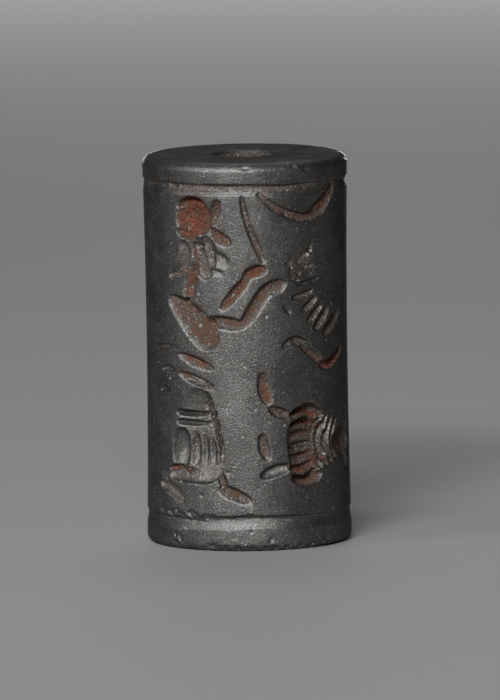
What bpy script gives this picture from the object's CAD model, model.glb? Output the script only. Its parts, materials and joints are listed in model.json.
import json
import math
import random

import bmesh
import bpy
import numpy as np
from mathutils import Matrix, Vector, noise

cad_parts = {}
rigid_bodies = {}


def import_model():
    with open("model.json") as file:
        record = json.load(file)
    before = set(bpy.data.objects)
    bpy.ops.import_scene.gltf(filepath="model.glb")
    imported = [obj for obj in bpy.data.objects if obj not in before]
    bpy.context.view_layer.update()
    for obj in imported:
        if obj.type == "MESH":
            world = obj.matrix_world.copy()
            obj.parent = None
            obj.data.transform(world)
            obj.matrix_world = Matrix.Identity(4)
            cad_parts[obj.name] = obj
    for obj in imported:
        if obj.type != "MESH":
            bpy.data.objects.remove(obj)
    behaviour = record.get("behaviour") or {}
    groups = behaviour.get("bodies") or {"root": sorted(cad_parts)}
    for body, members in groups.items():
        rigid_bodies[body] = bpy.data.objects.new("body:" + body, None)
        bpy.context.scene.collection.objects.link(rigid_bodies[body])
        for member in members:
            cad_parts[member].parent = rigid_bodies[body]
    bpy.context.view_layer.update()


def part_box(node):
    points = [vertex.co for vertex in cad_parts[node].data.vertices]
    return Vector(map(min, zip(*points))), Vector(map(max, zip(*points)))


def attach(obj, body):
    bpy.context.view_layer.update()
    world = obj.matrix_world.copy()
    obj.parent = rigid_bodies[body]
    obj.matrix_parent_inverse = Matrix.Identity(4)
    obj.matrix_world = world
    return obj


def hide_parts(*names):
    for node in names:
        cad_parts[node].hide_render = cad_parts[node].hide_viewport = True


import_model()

# Camera. It looks seven degrees down through a long lens, as the photograph does, on a stone that
# leans a little to the left in the picture. The stone's height is 387 of the picture's 700 pixels.
PICTURE_HEIGHT = 0.0444
LENS = 600
SENSOR = 36
ELEVATION = math.radians(7.0)
ROLL = math.radians(-0.8)
AIM_RIGHT = 0.00018
AIM_DROP = 0.00027
seal_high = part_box("seal_body")[1]
aim = Vector((AIM_RIGHT, 0, seal_high[2] / 2 - AIM_DROP))
distance = PICTURE_HEIGHT * LENS / SENSOR
bpy.ops.object.camera_add(
    location=aim + distance * Vector((0, -math.cos(ELEVATION), math.sin(ELEVATION))),
    rotation=(math.radians(90) - ELEVATION, 0, 0),
)
camera = bpy.context.object
camera.data.lens = LENS
camera.data.sensor_width = SENSOR
camera.data.clip_start = 0.05
camera.data.clip_end = 5
camera.rotation_euler.rotate_axis("Z", ROLL)
bpy.context.scene.camera = camera

# Stone blank. A lump of dark iron ore was ground to a cylinder a little narrower at its waist, its
# rims were rounded, and it was drilled from both ends. It is modelled in millimetres.
MM_PER_METRE = 1000
RADIUS = seal_high[0] * MM_PER_METRE
HEIGHT = seal_high[2] * MM_PER_METRE
WAIST_INSET = 0.14
UPPER_ROUND = 0.65
LOWER_ROUND = 0.5
ROUND_STEPS = 8
BORE = 1.8
MOUTH = 2.1
MOUTH_DEPTH = 0.45
SIDES = 240
SIDE_STEPS = 24
TOUCH = 0.01


def side_radius(z):
    from_middle = 2 * z / HEIGHT - 1
    return RADIUS - WAIST_INSET * (1 - from_middle * from_middle)


bpy.ops.object.select_all(action="DESELECT")
bpy.ops.mesh.primitive_cylinder_add(
    vertices=SIDES, radius=RADIUS, depth=HEIGHT, location=(0, 0, HEIGHT / 2)
)
stone = bpy.context.object
stone.name = "carved_stone"
bpy.ops.object.transform_apply(location=True, rotation=True, scale=True)


def choose_faces(piece, wanted):
    mesh = bmesh.from_edit_mesh(piece.data)
    for face in mesh.faces:
        face.select_set(wanted(face))
    bmesh.update_edit_mesh(piece.data)


def end_face(level):
    return lambda face: len(face.verts) == SIDES and abs(face.calc_center_median().z - level) < TOUCH


bpy.ops.object.mode_set(mode="EDIT")
bpy.ops.mesh.select_mode(type="FACE")
for level, rounding in ((0, LOWER_ROUND), (HEIGHT, UPPER_ROUND)):
    choose_faces(stone, end_face(level))
    bpy.ops.mesh.bevel(offset=rounding, segments=ROUND_STEPS, profile=0.5, affect="EDGES")
    choose_faces(stone, end_face(level))
    bpy.ops.mesh.inset(thickness=RADIUS - rounding - MOUTH)
    bpy.ops.mesh.inset(thickness=MOUTH - BORE, depth=-MOUTH_DEPTH)
choose_faces(stone, lambda face: len(face.verts) == SIDES)
bpy.ops.mesh.bridge_edge_loops()
bpy.ops.mesh.select_mode(type="EDGE")
bpy.ops.mesh.select_all(action="DESELECT")
mesh = bmesh.from_edit_mesh(stone.data)
for edge in mesh.edges:
    low, high = sorted(corner.co.z for corner in edge.verts)
    edge.select_set(high - low > HEIGHT / 2)
bmesh.update_edit_mesh(stone.data)
bpy.ops.mesh.subdivide(number_cuts=SIDE_STEPS)
bpy.ops.object.mode_set(mode="OBJECT")
for corner in stone.data.vertices:
    if corner.co.xy.length > RADIUS - TOUCH:
        waist = side_radius(corner.co.z) / RADIUS
        corner.co.x *= waist
        corner.co.y *= waist

# Border lines. A ring was cut by hand near each end, in passes that don't quite meet, and a graver
# went over parts of the lower one. Every mark on the stone is made as here: a closed form is bent
# round the side, laid on it by degrees to the right of the front and by height, and cut away.
TOOL_LIFT = 0.18
RING_STEPS = 300
RING_SECTION = 16
MARK_SEGMENTS = 24
MARK_RINGS = 18
HAND_WANDER = 0.035
HAND_TREMOR = 0.02
PRESSURE = 0.8
PRESSURE_SWING = 0.3
CHATTER = 0.06
cuts = bpy.data.collections.new("cuts")
bpy.context.scene.collection.children.link(cuts)
marks = []


def on_stone(arc, z, depth):
    turn = arc / RADIUS
    r = side_radius(z) - depth
    return r * np.sin(turn), -r * np.cos(turn), z


def keep_cut(centre_arc, centre_z, half_width, stain):
    cut = bpy.context.object
    for home in cut.users_collection:
        home.objects.unlink(cut)
    cuts.objects.link(cut)
    marks.append((centre_arc, centre_z, half_width, stain))
    cut.select_set(False)


def read_corners(piece):
    places = np.empty(len(piece.data.vertices) * 3)
    piece.data.vertices.foreach_get("co", places)
    return places.reshape(-1, 3)


def write_corners(piece, x, y, z):
    piece.data.vertices.foreach_set("co", np.column_stack((x, y, z)).ravel())
    piece.data.update()


# A mark's section is round where keen is 2, pointed below that and flat-bottomed above it.
def hollow_section(across, inwards, keen):
    reach = np.maximum(np.hypot(across, inwards), 1e-9)
    spread = np.maximum(np.abs(across / reach) ** keen + np.abs(inwards / reach) ** keen, 0.1)
    return across * spread ** (-1 / keen), inwards * spread ** (-1 / keen)


# Stations are degrees round the stone, with how far the line lies above or below its level there.
def border_line(level, width, depth, stain, stations, keen=1.5, lean=0.0):
    bpy.ops.mesh.primitive_torus_add(
        major_segments=RING_STEPS, minor_segments=RING_SECTION, major_radius=2, minor_radius=1
    )
    cut = bpy.context.object
    corners = read_corners(cut)
    turn = np.arctan2(corners[:, 0], -corners[:, 1])
    from_core = 2 - np.hypot(corners[:, 0], corners[:, 1])
    across, inwards = hollow_section(corners[:, 2], from_core, keen)
    across = across + lean * np.maximum(inwards, 0)
    degrees, shifts = zip(*stations)
    wander = HAND_WANDER * np.sin(3 * turn + level) + HAND_TREMOR * np.sin(7 * turn + 2 * level)
    middle = level + np.interp(np.degrees(turn), degrees, shifts) + wander
    swell = PRESSURE + PRESSURE_SWING * np.cos(2 * turn) + CHATTER * np.sin(5 * turn + 3 * level)
    z = middle + across * width / 2
    sunk = (inwards * (1 + TOOL_LIFT) - TOOL_LIFT) * depth * swell
    write_corners(cut, *on_stone(turn * RADIUS, z, sunk))
    ring = np.radians(np.arange(-180, 180, 3))
    keep_cut(ring * RADIUS, level + np.interp(np.degrees(ring), degrees, shifts), width / 2, stain)


# A path is a few points of degrees and height, in the order of the stroke. A stroke with a large
# blunt has full ends, a heavy one grows towards its end, and lean steepens the wall on its left.
def gouge(path, width, depth, stain=0.4, blunt=0.25, heavy=0.0, lean=0.0, keen=2.0):
    bpy.ops.mesh.primitive_uv_sphere_add(segments=MARK_SEGMENTS, ring_count=MARK_RINGS, radius=1)
    cut = bpy.context.object
    corners = read_corners(cut)
    reach = np.clip(corners[:, 2], -1, 1)
    along = (1 + reach * (1 + blunt * (1 - reach * reach))) / 2
    arcs = np.radians([deg for deg, z in path]) * RADIUS
    levels = np.array([z for deg, z in path])
    steps = np.concatenate(([0], np.cumsum(np.hypot(np.diff(arcs), np.diff(levels)))))
    run_arc = np.polyfit(steps / steps[-1], arcs, len(path) - 1)
    run_z = np.polyfit(steps / steps[-1], levels, len(path) - 1)
    slope_arc = np.polyval(np.polyder(run_arc), along)
    slope_z = np.polyval(np.polyder(run_z), along)
    speed = np.hypot(slope_arc, slope_z)
    across, inwards = hollow_section(corners[:, 0], -corners[:, 1], keen)
    fullness = 1 + heavy * reach
    sideways = (across + lean * np.maximum(inwards, 0)) * fullness * width / 2
    sunk = (inwards * (1 + TOOL_LIFT) - TOOL_LIFT) * fullness * depth
    arc = np.polyval(run_arc, along) - slope_z / speed * sideways
    z = np.polyval(run_z, along) + slope_arc / speed * sideways
    write_corners(cut, *on_stone(arc, z, sunk))
    walk = np.linspace(0, 1, 9)
    keep_cut(np.polyval(run_arc, walk), np.polyval(run_z, walk), width / 2, stain)


UPPER_LINE = HEIGHT - 1.5
LOWER_LINE = 1.72
border_line(
    UPPER_LINE - 0.16, width=0.62, depth=0.21, stain=0.45, lean=0.7,
    stations=[(-180, 0.16), (-80, -0.04), (0, 0), (50, -0.04), (80, -0.1), (180, 0.16)],
)
border_line(
    UPPER_LINE - 0.32, width=0.46, depth=0.12, stain=0.25,
    stations=[(-180, 0.16), (-40, 0), (6, 0.02), (22, -0.1), (42, -0.08), (58, 0), (180, 0.16)],
)
border_line(
    LOWER_LINE - 0.02, width=0.84, depth=0.17, stain=0.12, lean=0.6, keen=1.7,
    stations=[(-180, 0), (-10, 0.02), (0, 0.14), (30, 0.05), (180, 0)],
)
gouge([(-75, 1.9), (-40, 1.94), (-12, 1.7)], 0.3, 0.22, 0.15)
gouge([(-14, 1.82), (2, 2.08), (22, 2.02), (40, 1.94)], 0.28, 0.21, 0.1)

# Standing figure, head. A bowl was sunk with a ball drill, and a round cap, its brim turned up in
# front, the jaw, the nose, the eye and the tip of the beard were set round it with short strokes.
HEAD_DEG = -32
HEAD_LEVEL = 21.05
HEAD_SIZE = 2.35


def drilled(deg, z, wide, high, depth, stain=0.6):
    half = high / 2
    gouge([(deg, z - half), (deg, z + half)], wide, depth, stain, blunt=0.0)


drilled(HEAD_DEG - 0.5, HEAD_LEVEL, HEAD_SIZE, HEAD_SIZE, 0.8, 1.0)
gouge(
    [(HEAD_DEG + 4, HEAD_LEVEL - 0.95), (HEAD_DEG + 6.5, HEAD_LEVEL), (HEAD_DEG + 5, HEAD_LEVEL + 0.95)],
    1.15, 0.66, 0.9, lean=-0.4,
)
gouge(
    [(HEAD_DEG - 10, HEAD_LEVEL + 0.62), (HEAD_DEG, HEAD_LEVEL + 1.12), (HEAD_DEG + 9, HEAD_LEVEL + 0.72)],
    0.62, 0.7, 0.8, lean=0.3,
)
gouge(
    [(HEAD_DEG - 10, HEAD_LEVEL - 0.7), (HEAD_DEG - 6, HEAD_LEVEL - 0.95), (HEAD_DEG + 3, HEAD_LEVEL - 0.95)],
    0.62, 0.6, 1.0,
)
gouge([(HEAD_DEG + 8.5, HEAD_LEVEL + 0.1), (HEAD_DEG + 12.5, HEAD_LEVEL - 0.25)], 0.5, 0.4, 0.8, heavy=0.2)
drilled(HEAD_DEG + 5.5, HEAD_LEVEL + 0.2, 0.4, 0.34, 0.86, 0.7)
gouge([(-22.5, 20.6), (-18.8, 21.3), (-16.4, 22.3)], 0.74, 0.42, 0.6, heavy=0.1, lean=-0.3)
gouge([(-24, 20.45), (-19, 20.05), (-13, 19.7), (-8.6, 19.4)], 0.84, 0.42, 0.6, heavy=-0.1, lean=0.45)

# Standing figure, neck. Two long strokes run down from the jaw to the breast, a short one and a
# drilled bead make a collar, and three shallow ones in front are the folds of a shawl.
gouge([(-28, 19.9), (-25, 18.9), (-22.5, 17.2)], 1.45, 0.34, 0.25, lean=-0.3)
gouge([(-24.5, 20.1), (-20.5, 19.2), (-19.5, 17.9)], 0.85, 0.4, 0.3, heavy=-0.15, lean=-0.3)
gouge([(-31, 19.5), (-27, 19.25), (-23.5, 19.35)], 0.6, 0.42, 0.2, lean=0.3)
drilled(-27, 19.05, 0.5, 0.42, 0.56, 0.2)
gouge([(-23, 18.75), (-16, 18.45), (-9.6, 18.2)], 1.05, 0.17, 0.2, heavy=-0.2, lean=0.4)
gouge([(-22.5, 18.85), (-10, 18.4)], 0.44, 0.21, 0.25, lean=0.5)
gouge([(-22, 17.85), (-13, 17.55)], 0.5, 0.1, 0.1, lean=0.5)

# Standing figure, hair. Two long curls were cut behind the shoulder with a graver, the first turning
# outwards at its end and the second hanging under it.
gouge([(-39.4, 19.65), (-37.4, 18.85), (-39.6, 17.95), (-49.5, 17.5)], 0.8, 0.38, 0.4, lean=0.4)
gouge([(-30.3, 18.35), (-33, 17.3), (-36.8, 15.9)], 0.88, 0.42, 0.8, lean=0.4)

# Standing figure, trunk. It is one broad leaf-shaped hollow that slants down across the body, and
# was cut with the tool held over, so that it is steep along its upper edge.
gouge([(-51, 15.85), (-37, 14.85), (-20.6, 12.75)], 1.95, 0.88, 0.5, blunt=0.15, heavy=0.3, lean=0.85)

# Standing figure, arms and staff. The forearm rises in front, the other arm is shorter behind it,
# and a thin staff leans over the hands.
gouge([(-23.5, 14.6), (-12, 14.45), (-1, 14.25)], 0.86, 0.42, 0.5, lean=0.45)
gouge([(-4.5, 14.2), (3, 15.1), (12.5, 16.55), (24, 16.85)], 0.92, 0.42, 0.5, lean=0.45)
gouge([(9, 16.5), (22.5, 16.8)], 0.92, 0.36, 0.4, lean=0.4)
gouge([(-14.4, 15.3), (-7.5, 16.2), (2, 17.4)], 0.72, 0.36, 0.8, lean=0.4)
gouge([(-1.5, 17.25), (5, 17.72), (12, 17.75)], 0.78, 0.38, 0.95, lean=0.35)
gouge([(-1.9, 22.7), (-0.3, 21.5), (4.4, 19.9)], 0.42, 0.2, 0.3, lean=-0.3)
gouge([(0.2, 21.1), (4.6, 19.9), (10.9, 18.25)], 0.54, 0.25, 0.6, lean=-0.3)

# Standing figure, waist. Two leaf-shaped cuts, one over the other, make a belt, and three thin
# strokes behind it are the ends of a sash.
for level in (11.95, 10.75):
    gouge(
        [(-43, level + 0.42), (-32, level + 0.02), (-19.5, level - 0.44)],
        0.64, 0.42, 0.72, blunt=0.0, lean=0.8,
    )
gouge([(-72, 12.2), (-58, 12.75), (-43, 12.78)], 0.36, 0.2, 0.35, lean=0.3)
gouge([(-58, 11.3), (-52, 11.42), (-46, 11.3)], 0.42, 0.22, 0.25, lean=0.3)
gouge([(-59, 10.0), (-54.5, 10.08), (-50, 10.02)], 0.34, 0.18, 0.1, lean=0.3)

# Standing figure, skirt. It is a long flat-bottomed hollow that widens downwards, with a steep deep
# edge in front, two bands across it, a fringe of five pleats and the fold of its hem.
SKIRT_DEG = -31
PLEAT_FLARE = 1.06
gouge([(-31.5, 10.35), (-31.5, 7.9), (-31, 4.2)], 3.3, 0.58, 0.1, blunt=0.3, heavy=0.3, lean=0.65, keen=2.5)
gouge([(-25.5, 10.1), (-23, 8.5), (-19.6, 6.8), (-17, 5.1)], 1.0, 0.98, 0.2, lean=0.9)
for level in (8.68, 8.06):
    gouge(
        [(-45, level + 0.08), (-34, level - 0.16), (-19 - (level - 8) * 3, level - 0.1)],
        0.56, 0.78, 0.05, blunt=0.42, lean=0.8, keen=1.6,
    )
for deg, width in ((-42.5, 1.3), (-34, 0.95), (-28, 0.8), (-22.8, 0.72), (-18.2, 0.66)):
    foot_deg = SKIRT_DEG + (deg - SKIRT_DEG) * PLEAT_FLARE
    gouge([(deg, 7.75), (foot_deg, 5.15)], width, 0.74, 0.06, blunt=0.35, heavy=0.08, lean=0.3)
gouge([(-51, 4.75), (-33, 4.72), (-15, 4.9)], 1.05, 0.46, 0.14, blunt=0.4, lean=0.45)
gouge([(-51, 5.05), (-45, 5.15), (-38, 5.0)], 0.5, 0.56, 0.9, lean=0.3)

# Standing figure, feet. Both point to the right, and each is a short ankle and a longer foot cut
# with two strokes that meet at the heel.
gouge([(-54.5, 5.1), (-56, 3.7)], 0.62, 0.3, 0.2)
gouge([(-60.5, 4.1), (-50, 3.75), (-39, 3.1)], 0.78, 0.38, 0.3, lean=0.25)
gouge([(-16, 5.1), (-14.6, 4.3), (-12.6, 3.6)], 0.54, 0.3, 0.4, lean=-0.2)
gouge([(-17.5, 4.0), (-9.5, 3.62), (1.4, 3.1)], 0.8, 0.4, 0.5, heavy=-0.15, lean=0.5)

# Sky sign. A broad crescent hangs from the upper line, cut as one long curved stroke with a second
# one that thickens its right horn.
gouge([(5, 23.0), (18.5, 21.62), (35, 21.02), (60, 22.9)], 0.62, 0.3, 0.6, blunt=0.4, heavy=0.12, lean=0.35)
gouge([(38, 21.15), (50, 21.85), (62, 22.9)], 0.92, 0.34, 0.7, lean=0.3)

# Wing at the right. Six feathers lie one under another below a patch of rough broken stone, each a
# wider and deeper stroke than the one above it, and a bent leg crosses under them.
PATCH_DEG = 33.5
PATCH_REACH = 9.5
PATCH_LEVEL = 18.05
PATCH_RISE = 1.3
CHIP_LIFT = 0.1
CHIP_LUMPS = 1.6
NOISE_STEPS = (3.7, 1.3, 2.9)


# A chip is a lumpy ball sunk to its depth, and each seed gives it another shape.
def chip(deg, z, wide, high, depth, seed, roughness=0.35, stain=0.0):
    bpy.ops.mesh.primitive_ico_sphere_add(subdivisions=4, radius=1)
    cut = bpy.context.object
    corners = read_corners(cut)
    shift = Vector([seed * step for step in NOISE_STEPS])
    swell = [
        1 + roughness * noise.fractal(Vector(corner) * CHIP_LUMPS + shift, 0.9, 2.1, 3)
        for corner in corners
    ]
    corners *= np.array(swell)[:, None]
    arc = math.radians(deg) * RADIUS + corners[:, 0] * wide / 2
    sunk = (corners[:, 1] * (1 + CHIP_LIFT) - CHIP_LIFT) * depth
    write_corners(cut, *on_stone(arc, z + corners[:, 2] * high / 2, sunk))
    keep_cut(np.array([math.radians(deg) * RADIUS]), np.array([float(z)]), (wide + high) / 4, stain)


random.seed(5)
for spot, (deg, z) in enumerate(((31, 18.5), (35.5, 17.6), (30.5, 17.7), (33.5, 18.1))):
    chip(deg, z, 1.5, 1.1, 0.11, spot + 20, 0.3, 0.5)
for spot in range(22):
    size = 0.2 + 0.26 * random.random()
    deg = PATCH_DEG + PATCH_REACH * (random.random() + random.random() - 1)
    z = PATCH_LEVEL + PATCH_RISE * (random.random() + random.random() - 1)
    chip(deg, z, size * 1.6, size, 0.16 + 0.07 * random.random(), spot, 0.25, 0.5)
FEATHERS = (
    (29, 16.8, 47, 17.15), (26, 15.95, 41.5, 16.4), (33, 15.1, 44, 15.95),
    (37, 14.35, 48, 15.45), (42, 13.8, 54, 15.2), (49, 13.4, 66.5, 14.85),
)
for row, (root_deg, root_z, tip_deg, tip_z) in enumerate(FEATHERS):
    gouge(
        [(root_deg, root_z), ((root_deg + tip_deg) / 2, (root_z + tip_z) / 2 - 0.06), (tip_deg, tip_z)],
        0.34 + 0.1 * row, 0.2 + 0.045 * row, 0.4 + 0.03 * row, lean=0.2,
    )
gouge([(21, 15.6), (26, 15.0)], 0.34, 0.14, 0.3)
gouge([(20.5, 12.8), (29, 13.25), (39, 12.5)], 0.66, 0.34, 0.25, lean=0.2)
gouge([(32, 13.0), (41, 12.3), (50, 11.5)], 0.6, 0.34, 0.6)
gouge([(44, 11.95), (54.5, 11.6), (62, 11.95), (71, 12.5)], 0.74, 0.4, 1.0, lean=-0.2)

# Lying figure, feet and legs. Its feet are to the left with their toes up, and each leg runs from
# them into the hem of the skirt.
gouge([(9, 11.35), (9.6, 10.3), (12.8, 9.3)], 0.82, 0.36, 0.8, lean=-0.3)
gouge([(11.5, 9.05), (17.5, 8.75), (26, 8.4)], 0.7, 0.36, 0.5, lean=0.45)
gouge([(8.6, 7.5), (8.9, 6.7), (12, 5.75)], 0.74, 0.34, 0.4, lean=-0.3)
gouge([(6.8, 4.66), (15, 5.02), (25, 5.24)], 0.8, 0.38, 0.05, lean=0.5)

# Lying figure, skirt. The fringe at its hem fans out from the left and swells like a barrel, and
# curved bands follow it to the waist.
HEM_DEG = 23.4
BAND_DEG = 42.5
FRINGE = 7
LYING_LEVEL = 6.75
gouge([(23, 6.5), (35, 6.6), (50, 6.7)], 3.7, 0.52, 0.3, blunt=0.45, heavy=-0.1, keen=3.0)
for fold in range(FRINGE):
    share = 2 * fold / (FRINGE - 1) - 1
    gouge(
        [
            (HEM_DEG + 1.5 * share * share, 6.5 + 1.85 * share),
            (31.5, 6.6 + 2.2 * share),
            (BAND_DEG + 1, 6.65 + 1.55 * share),
        ],
        0.66, 0.82, 0.85 - 0.25 * (fold == 0), blunt=0.35, keen=1.8,
    )
gouge([(26, 8.45), (36, 8.95), (48, 8.2)], 0.6, 0.56, 0.4, lean=0.3)
gouge([(25, 4.8), (34, 4.35), (46, 4.8)], 0.8, 0.6, 0.5)
for deg, half_height, bulge in ((47.5, 1.8, 6), (52, 1.65, 6.2), (56.5, 1.5, 6), (61, 1.3, 5.5)):
    gouge(
        [
            (deg, LYING_LEVEL + half_height),
            (deg - bulge, LYING_LEVEL),
            (deg - 0.5, LYING_LEVEL - half_height),
        ],
        0.46, 0.62, 0.7, blunt=0.35, lean=-0.2, keen=1.6,
    )

# Lying figure, body. It runs on round the right of the stone: a trunk with a navel, two short
# upper arms, a drilled head with the edge of a cap, and hands beyond it.
gouge([(57, 6.5), (68, 6.6), (81, 6.7)], 2.15, 0.6, 0.5, blunt=0.3, heavy=0.12)
gouge([(75, 6.75), (80, 6.9), (85, 7.0)], 0.9, 0.12, 0.3)
gouge([(69, 7.3), (73, 8.0), (76, 8.7)], 0.6, 0.3, 0.4, lean=0.2)
gouge([(69, 5.9), (73, 5.2), (76, 4.6)], 0.6, 0.3, 0.4, lean=0.2)
drilled(103, 7.1, 2.0, 2.0, 0.72, 0.6)
gouge([(98, 8.0), (103, 8.25), (109, 7.9)], 0.5, 0.5, 0.5)
gouge([(106, 6.3), (111, 5.9), (118, 5.8)], 0.56, 0.34, 0.4)
gouge([(109, 8.1), (114, 7.6), (116.5, 6.7)], 0.6, 0.36, 0.3)

# Back of the stone, figure. A second figure stands in a plain robe and faces the other way. Its
# capped head was drilled, and its robe is one long hollow, with three bands over four pleats.
ROBE_DEG = 190
ROBE_PLEATS = 4
drilled(ROBE_DEG, 21.0, 2.1, 2.1, 0.72, 0.5)
gouge([(ROBE_DEG + 9, 21.85), (ROBE_DEG, 22.2), (ROBE_DEG - 9, 21.7)], 0.5, 0.4, 0.4)
gouge([(ROBE_DEG - 8, 21.8), (ROBE_DEG - 13, 22.4)], 0.44, 0.3, 0.4)
gouge([(ROBE_DEG - 7, 20.7), (ROBE_DEG - 12.5, 20.4)], 0.4, 0.28, 0.3, heavy=0.2)
gouge([(ROBE_DEG + 2, 19.8), (ROBE_DEG - 1, 18.0)], 0.9, 0.42, 0.3)
gouge([(ROBE_DEG + 11, 17.6), (ROBE_DEG, 16.3), (ROBE_DEG - 9, 14.5)], 2.0, 0.74, 0.5, lean=-0.3, heavy=0.05)
gouge([(ROBE_DEG - 5, 15.9), (ROBE_DEG - 14, 15.5), (ROBE_DEG - 23, 15.2)], 0.7, 0.4, 0.5, lean=-0.2)
gouge([(ROBE_DEG - 21, 15.2), (ROBE_DEG - 27, 16.2), (ROBE_DEG - 32, 17.4)], 0.62, 0.36, 0.5, lean=-0.2)
gouge([(ROBE_DEG + 9, 13.7), (ROBE_DEG, 13.45), (ROBE_DEG - 9, 13.6)], 0.56, 0.36, 0.4, lean=0.3)
gouge(
    [(ROBE_DEG, 13.2), (ROBE_DEG, 8.6), (ROBE_DEG - 0.5, 3.4)],
    3.0, 0.62, 0.2, blunt=0.35, heavy=0.26, keen=2.6,
)
for level in (10.8, 9.0, 7.1):
    half = 12 - 0.9 * (level - 7)
    gouge(
        [(ROBE_DEG - half, level), (ROBE_DEG, level - 0.1), (ROBE_DEG + half, level)],
        0.5, 0.86, 0.2, blunt=0.4, lean=0.6, keen=1.6,
    )
for fold in range(ROBE_PLEATS):
    share = 2 * fold / (ROBE_PLEATS - 1) - 1
    gouge(
        [(ROBE_DEG + 9 * share, 6.4), (ROBE_DEG + 11 * share, 3.8)],
        0.84, 0.84, 0.25, blunt=0.35, heavy=0.1,
    )
gouge([(ROBE_DEG - 5, 3.5), (ROBE_DEG - 13, 3.35), (ROBE_DEG - 20, 3.1)], 0.64, 0.36, 0.4, lean=-0.2)

# Back of the stone, star and dots. A star of six short strokes is on one side of the figure, and a
# column of four drilled dots on the other.
STAR_DEG = 140
STAR_LEVEL = 19.1
STAR_RAYS = 6
DOTS_DEG = 238
DOT = 0.95
for ray in range(STAR_RAYS):
    turn = math.radians(360 / STAR_RAYS * ray)
    outward = (math.degrees(math.cos(turn) / RADIUS), math.sin(turn))
    gouge(
        [(STAR_DEG + reach * outward[0], STAR_LEVEL + reach * outward[1]) for reach in (0.42, 1.3)],
        0.42, 0.24, 0.45,
    )
for level in (11.2, 12.9, 14.6, 16.3):
    drilled(DOTS_DEG, level, DOT, DOT, 0.4, 0.5)

# Wear and damage. Flakes have gone from the rims and along the lower line, pits are scattered over
# the side, and fine scratches cross it. All came from handling and long burial.
JAGGED = 0.5
SEEDS = 9
LOWER_RIM = 0.22
UPPER_RIM = HEIGHT - 0.2
FLAKES = (
    (-50, 2.3, 0.9, 0.5, 0.16), (-46, 2.45, 0.7, 0.4, 0.14), (-41, 2.2, 0.8, 0.4, 0.16),
    (-35, 2.35, 0.8, 0.5, 0.18), (-31, 2.2, 0.5, 0.4, 0.14), (-25.5, 2.15, 0.7, 0.4, 0.16),
    (-21, 2.25, 0.4, 0.3, 0.1), (-57, 2.35, 0.7, 0.4, 0.12), (-46, 0.95, 0.5, 0.3, 0.12),
    (-42, 0.75, 0.5, 0.4, 0.14), (12, 0.7, 0.25, 0.45, 0.1), (-12, 5.05, 0.5, 0.3, 0.05),
    (48, 22.95, 0.5, 0.35, 0.14), (56, 23.0, 0.7, 0.4, 0.16), (36, 24.1, 0.6, 0.5, 0.08),
    (64, 22.4, 0.6, 0.4, 0.1),
)
random.seed(11)
for deg, z, wide, high, depth in FLAKES:
    chip(deg, z, wide, high, depth, random.random() * SEEDS, JAGGED)
for count in range(26):
    deg = -180 + 360 * random.random()
    rim = LOWER_RIM if count % 2 else UPPER_RIM
    wide = 0.5 + 0.9 * random.random()
    high = 0.35 + 0.35 * random.random()
    chip(deg, rim, wide, high, 0.16, random.random() * SEEDS, JAGGED)
for spot in range(8):
    deg = -14 + 7 * spot + 3 * random.random()
    chip(deg, 0.12, 0.7, 0.5, 0.3, random.random() * SEEDS, JAGGED)
for pit in range(70):
    deg = -180 + 360 * random.random()
    size = 0.12 + 0.16 * random.random()
    z = 0.6 + 23.4 * random.random()
    depth = 0.05 + 0.04 * random.random()
    chip(deg, z, size * 1.3, size, depth, random.random() * SEEDS, 0.4)
for scratch in range(12):
    deg = -180 + 360 * random.random()
    z = 3 + 18 * random.random()
    tilt = (random.random() - 0.5) * 1.6
    far_deg = deg + 4 + 7 * random.random()
    gouge([(deg, z), (far_deg, z + tilt)], 0.1, 0.015 + 0.015 * random.random(), 0.0)

# Carved stone. The cuts are taken out of the blank, the whole skin is drawn again in even small
# faces, and its sharp lips are rubbed down as handling does.
SKIN_STEP = 0.066
SKIN_TRIANGLES = 192000
bpy.ops.object.select_all(action="DESELECT")
bpy.context.view_layer.objects.active = stone
stone.select_set(True)
carving = stone.modifiers.new("carving", "BOOLEAN")
carving.operation = "DIFFERENCE"
carving.operand_type = "COLLECTION"
carving.collection = cuts
carving.solver = "MANIFOLD"
bpy.ops.object.modifier_apply(modifier=carving.name)
for cut in list(cuts.objects):
    bpy.data.objects.remove(cut)
bpy.data.collections.remove(cuts)
skin = stone.modifiers.new("skin", "REMESH")
skin.mode = "VOXEL"
skin.voxel_size = SKIN_STEP
bpy.ops.object.modifier_apply(modifier=skin.name)
rubbing = stone.modifiers.new("rubbing", "SMOOTH")
rubbing.factor = 0.5
rubbing.iterations = 2
bpy.ops.object.modifier_apply(modifier=rubbing.name)
thinning = stone.modifiers.new("thinning", "DECIMATE")
thinning.ratio = SKIN_TRIANGLES / sum(len(face.vertices) - 2 for face in stone.data.polygons)
bpy.ops.object.modifier_apply(modifier=thinning.name)
bpy.ops.object.shade_smooth()

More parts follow.
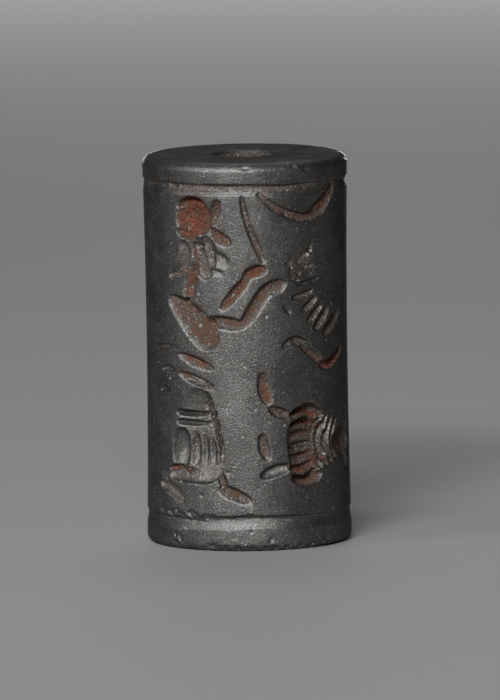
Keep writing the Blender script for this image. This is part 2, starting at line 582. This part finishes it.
# Residue. Red-brown earth stays in the cuts, most in the head and arms. Each point of the skin
# keeps how deep it lies under the old face and how much earth the nearest cut holds.
FULL_RECESS = 0.4
DEEPEST_CUT = 1.6
RIM_BAND = 0.9
FACE_DEPTH = 0.03
BORE_MARGIN = 0.12
BORE_RECESS = 0.9
BORE_EARTH = 0.6
corners = read_corners(stone)
from_axis = np.hypot(corners[:, 0], corners[:, 1])
arc = np.arctan2(corners[:, 0], -corners[:, 1]) * RADIUS
level = corners[:, 2]
depth = side_radius(level) - from_axis
on_side = (level > RIM_BAND) & (level < HEIGHT - RIM_BAND) & (depth < DEEPEST_CUT)
recess = np.where(on_side, np.clip(depth / FULL_RECESS, 0, 1), 0)
earth = np.zeros(len(corners))
inside = np.flatnonzero(on_side & (depth > FACE_DEPTH))
nearest = np.full(len(inside), np.inf)
turn_length = 2 * math.pi * RADIUS
for centre_arc, centre_z, half_width, stain in marks:
    sideways = arc[inside][:, None] - centre_arc[None, :]
    sideways -= turn_length * np.round(sideways / turn_length)
    gap = np.hypot(sideways, level[inside][:, None] - centre_z[None, :]).min(axis=1) / half_width
    closer = gap < nearest
    nearest[closer] = gap[closer]
    earth[inside[closer]] = stain
bore_wall = from_axis < BORE + BORE_MARGIN
recess[bore_wall] = BORE_RECESS
earth[bore_wall] = BORE_EARTH
for name, amount in (("recess", recess), ("earth", earth)):
    layer = stone.data.attributes.new(name, "FLOAT", "POINT")
    layer.data.foreach_set("value", amount)
write_corners(stone, *(corners / MM_PER_METRE).T)

# Finish. Iron ore takes a soft grey polish, clouded and with a dark fine grain, in which brighter
# flecks glitter. The earth in the cuts is dull and crusty, and specks of pale dust lie on the stone.
DARK_GRAIN = (0.045, 0.043, 0.041)
DARK_ORE = (0.165, 0.161, 0.154)
PALE_ORE = (0.245, 0.238, 0.228)
FLECK = (0.7, 0.69, 0.66)
RED_EARTH = (0.31, 0.1, 0.06)
BROWN_EARTH = (0.168, 0.11, 0.074)
PALE_DUST = (0.55, 0.53, 0.48)
RELIEF_HEIGHT = 0.00007
finish = bpy.data.materials.new("polished_iron_ore")
finish.use_nodes = True
nodes = finish.node_tree.nodes
links = finish.node_tree.links
shader = nodes["Principled BSDF"]
place = nodes.new("ShaderNodeTexCoord")
in_millimetres = nodes.new("ShaderNodeMapping")
in_millimetres.inputs["Scale"].default_value = (MM_PER_METRE, MM_PER_METRE, MM_PER_METRE)
links.new(place.outputs["Object"], in_millimetres.inputs["Vector"])


def grain(scale, detail, roughness=0.5):
    pattern = nodes.new("ShaderNodeTexNoise")
    pattern.inputs["Scale"].default_value = scale
    pattern.inputs["Detail"].default_value = detail
    pattern.inputs["Roughness"].default_value = roughness
    links.new(in_millimetres.outputs["Vector"], pattern.inputs["Vector"])
    return pattern.outputs["Fac"]


def ramp(value, low, high, at_low, at_high):
    spread = nodes.new("ShaderNodeMapRange")
    spread.inputs["From Min"].default_value = low
    spread.inputs["From Max"].default_value = high
    spread.inputs["To Min"].default_value = at_low
    spread.inputs["To Max"].default_value = at_high
    links.new(value, spread.inputs["Value"])
    return spread.outputs["Result"]


def combine(operation, first, second):
    node = nodes.new("ShaderNodeMath")
    node.operation = operation
    for socket, value in zip(node.inputs, (first, second)):
        if isinstance(value, (int, float)):
            socket.default_value = value
        else:
            links.new(value, socket)
    return node.outputs["Value"]


def blend_colours(share, first, second):
    node = nodes.new("ShaderNodeMix")
    node.data_type = "RGBA"
    links.new(share, node.inputs["Factor"])
    for socket, colour in ((node.inputs["A"], first), (node.inputs["B"], second)):
        if isinstance(colour, tuple):
            socket.default_value = (*colour, 1)
        else:
            links.new(colour, socket)
    return node.outputs["Result"]


def skin_value(name):
    node = nodes.new("ShaderNodeAttribute")
    node.attribute_name = name
    return node.outputs["Fac"]


earth_share = skin_value("earth")
clouds = ramp(grain(0.45, 5, 0.6), 0.35, 0.65, 0, 1)
fine_grain = ramp(grain(15, 1), 0.36, 0.6, 0.45, 1)
patches = ramp(grain(2.2, 5, 0.65), 0.4, 0.62, 0.28, 1.2)
earth_cover = combine("MULTIPLY", skin_value("recess"), combine("MULTIPLY", earth_share, patches))
red_patches = ramp(grain(2.6, 4, 0.6), 0.36, 0.6, 0, 1)
redness = combine("MULTIPLY", red_patches, combine("POWER", earth_share, 2.4))
glitter = combine("ADD", grain(10, 1), ramp(grain(0.7, 2), 0.3, 0.7, -0.04, 0.03))
dust = ramp(grain(3.1, 1), 0.77, 0.8, 0, 0.8)
colour = blend_colours(clouds, DARK_ORE, PALE_ORE)
colour = blend_colours(fine_grain, DARK_GRAIN, colour)
earth_colour = blend_colours(redness, BROWN_EARTH, RED_EARTH)
colour = blend_colours(ramp(earth_cover, 0.03, 0.45, 0, 0.95), colour, earth_colour)
colour = blend_colours(ramp(glitter, 0.65, 0.75, 0, 0.75), colour, FLECK)
colour = blend_colours(dust, colour, PALE_DUST)
links.new(colour, shader.inputs["Base Color"])
polish = ramp(grain(0.8, 4, 0.6), 0.3, 0.7, 0.38, 0.5)
dullness = ramp(earth_cover, 0.05, 0.6, 0, 0.3)
links.new(combine("ADD", polish, dullness), shader.inputs["Roughness"])
links.new(ramp(combine("ADD", earth_cover, dust), 0.05, 0.6, 0.88, 0.0), shader.inputs["Metallic"])
shader.inputs["IOR"].default_value = 1.5
shader.inputs["Specular Tint"].default_value = (0.3, 0.3, 0.3, 1)
crust = combine("MULTIPLY", combine("MULTIPLY", grain(3.4, 6, 0.75), 6), earth_cover)
pores = combine("MULTIPLY", grain(11, 3, 0.6), 0.5)
unevenness = combine("MULTIPLY", grain(2.2, 3), 0.3)
relief = nodes.new("ShaderNodeBump")
relief.inputs["Strength"].default_value = 0.9
relief.inputs["Distance"].default_value = RELIEF_HEIGHT
links.new(combine("ADD", pores, combine("ADD", unevenness, crust)), relief.inputs["Height"])
links.new(relief.outputs["Normal"], shader.inputs["Normal"])
stone.data.materials.clear()
stone.data.materials.append(finish)
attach(stone, "root")
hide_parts("seal_body")

# Studio. The seal stands on a plain pale floor, with two soft lamps in front, a high one and a low
# strip behind, and a weak room light.
FLOOR_SIZE = 6
PAPER = (0.37, 0.366, 0.36, 1)
ROOM_LIGHT = 0.03
LAMP_DISTANCE = 0.5
LAMP_AIM = 0.012
bpy.ops.object.select_all(action="DESELECT")
bpy.ops.mesh.primitive_plane_add(size=FLOOR_SIZE, location=(0, 0, 0))
floor = bpy.context.object
floor.name = "studio_floor"
paper = bpy.data.materials.new("pale_paper")
paper.use_nodes = True
paper.node_tree.nodes["Principled BSDF"].inputs["Base Color"].default_value = PAPER
paper.node_tree.nodes["Principled BSDF"].inputs["Roughness"].default_value = 0.9
floor.data.materials.append(paper)


def soft_lamp(name, azimuth, elevation, width, height, power, spread):
    turn = math.radians(azimuth)
    rise = math.radians(elevation)
    bpy.ops.object.light_add(
        type="AREA",
        location=(
            LAMP_DISTANCE * math.cos(rise) * math.sin(turn),
            -LAMP_DISTANCE * math.cos(rise) * math.cos(turn),
            LAMP_DISTANCE * math.sin(rise) + LAMP_AIM,
        ),
        rotation=(math.radians(90) - rise, 0, turn),
    )
    lamp = bpy.context.object
    lamp.name = name
    lamp.data.shape = "RECTANGLE"
    lamp.data.size = width
    lamp.data.size_y = height
    lamp.data.energy = power
    lamp.data.spread = math.radians(spread)


soft_lamp("main_lamp", azimuth=-14, elevation=28, width=0.3, height=0.07, power=0.28, spread=60)
soft_lamp("side_lamp", azimuth=-62, elevation=28, width=0.16, height=0.12, power=0.05, spread=60)
soft_lamp("back_lamp", azimuth=176, elevation=60, width=0.36, height=0.2, power=0.08, spread=90)
soft_lamp("low_back_lamp", azimuth=178, elevation=0, width=0.24, height=0.018, power=0.11, spread=60)
world = bpy.data.worlds.new("pale_room")
world.use_nodes = True
world.node_tree.nodes["Background"].inputs["Color"].default_value = (1, 1, 1, 1)
world.node_tree.nodes["Background"].inputs["Strength"].default_value = ROOM_LIGHT
bpy.context.scene.world = world
